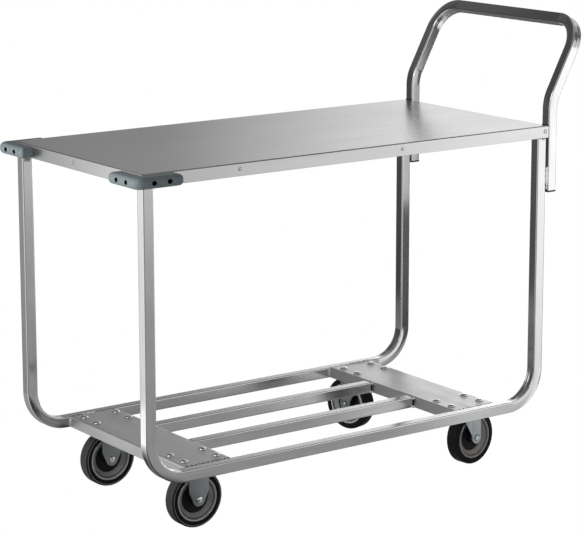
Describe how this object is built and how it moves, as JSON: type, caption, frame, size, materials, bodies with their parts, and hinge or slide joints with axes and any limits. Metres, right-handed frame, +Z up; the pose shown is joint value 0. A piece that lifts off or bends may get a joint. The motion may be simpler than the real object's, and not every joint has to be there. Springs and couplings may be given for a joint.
{
  "type": "stock cart",
  "caption": "Flat-topped steel stock cart: folded sheet deck on bent square-tube side frames, open lower shelf, leaning push handle, corner bumpers, fixed front and swivelling rear casters.",
  "frame": {"origin": "on the floor, under the middle of the cart's whole length and width", "axes": "+X runs along the cart towards the push handle, +Y towards the far side, +Z up"},
  "size_m": [1.2406, 0.582, 1.0351],
  "materials": {
    "deck_sheet": "brushed along the length",
    "shelf_sheet": "mill-finished sheet",
    "frame_tube": "polished tube",
    "handle_tube": "bright polished tube",
    "zinc_plate": "zinc plated pressing",
    "bolt_steel": "bright domed heads",
    "tyre_rubber": "moulded rubber with fine rings",
    "wheel_centre": "moulded grey nylon",
    "wheel_bush": "plain bronze bush",
    "plug_plastic": "moulded plug",
    "bumper_rubber": "soft grey moulding"
  },
  "bodies": {
    "frame": {"top_deck": "deck_sheet", "side_frame_near": "frame_tube", "side_frame_far": "frame_tube", "deck_rail_near": "frame_tube", "deck_rail_far": "frame_tube", "deck_cross_front": "frame_tube", "deck_cross_rear": "frame_tube", "deck_brace_front": "shelf_sheet", "deck_brace_rear": "shelf_sheet", "cross_plate_front": "shelf_sheet", "cross_plate_rear": "shelf_sheet", "inner_rail_near": "frame_tube", "inner_rail_far": "frame_tube", "push_handle": "handle_tube", "handle_plug_near": "plug_plastic", "handle_plug_far": "plug_plastic", "corner_bumper_near": "bumper_rubber", "corner_bumper_far": "bumper_rubber", "rigid_bracket_front_near": "zinc_plate", "rigid_bracket_front_far": "zinc_plate", "axle_front_near": "zinc_plate", "axle_front_far": "zinc_plate", "swivel_plate_rear_near": "zinc_plate", "swivel_race_rear_near": "zinc_plate", "kingpin_rear_near": "zinc_plate", "swivel_plate_rear_far": "zinc_plate", "swivel_race_rear_far": "zinc_plate", "kingpin_rear_far": "zinc_plate", "bolt_front_near_1": "bolt_steel", "bolt_front_near_2": "bolt_steel", "bolt_front_near_3": "bolt_steel", "bolt_front_near_4": "bolt_steel", "bolt_front_far_1": "bolt_steel", "bolt_front_far_2": "bolt_steel", "bolt_front_far_3": "bolt_steel", "bolt_front_far_4": "bolt_steel", "bolt_rear_near_1": "bolt_steel", "bolt_rear_near_2": "bolt_steel", "bolt_rear_near_3": "bolt_steel", "bolt_rear_near_4": "bolt_steel", "bolt_rear_far_1": "bolt_steel", "bolt_rear_far_2": "bolt_steel", "bolt_rear_far_3": "bolt_steel", "bolt_rear_far_4": "bolt_steel"},
    "fork_near": {"swivel_fork_rear_near": "zinc_plate", "axle_rear_near": "zinc_plate"},
    "fork_far": {"swivel_fork_rear_far": "zinc_plate", "axle_rear_far": "zinc_plate"},
    "wheel_front_near": {"tyre_front_near": "tyre_rubber", "wheel_core_front_near": "wheel_centre", "wheel_bush_front_near": "wheel_bush"},
    "wheel_front_far": {"tyre_front_far": "tyre_rubber", "wheel_core_front_far": "wheel_centre", "wheel_bush_front_far": "wheel_bush"},
    "wheel_rear_near": {"tyre_rear_near": "tyre_rubber", "wheel_core_rear_near": "wheel_centre", "wheel_bush_rear_near": "wheel_bush"},
    "wheel_rear_far": {"tyre_rear_far": "tyre_rubber", "wheel_core_rear_far": "wheel_centre", "wheel_bush_rear_far": "wheel_bush"}
  },
  "joints": [
    {"name": "swivel_near", "type": "hinge", "parent": "frame", "child": "fork_near", "pos_m": [0.30973, -0.178, 0.13], "axis": [0, 0, 1], "continuous": true},
    {"name": "swivel_far", "type": "hinge", "parent": "frame", "child": "fork_far", "pos_m": [0.30973, 0.178, 0.13], "axis": [0, 0, 1], "continuous": true},
    {"name": "roll_front_near", "type": "hinge", "parent": "frame", "child": "wheel_front_near", "pos_m": [-0.41927, -0.178, 0.0635], "axis": [0, 1, 0], "continuous": true},
    {"name": "roll_front_far", "type": "hinge", "parent": "frame", "child": "wheel_front_far", "pos_m": [-0.41927, 0.178, 0.0635], "axis": [0, 1, 0], "continuous": true},
    {"name": "roll_rear_near", "type": "hinge", "parent": "fork_near", "child": "wheel_rear_near", "pos_m": [0.35142, -0.17288, 0.0635], "axis": [-0.1219, 0.9925, 0], "continuous": true},
    {"name": "roll_rear_far", "type": "hinge", "parent": "fork_far", "child": "wheel_rear_far", "pos_m": [0.29957, 0.21875, 0.0635], "axis": [-0.9703, -0.2419, 0], "continuous": true}
  ]
}
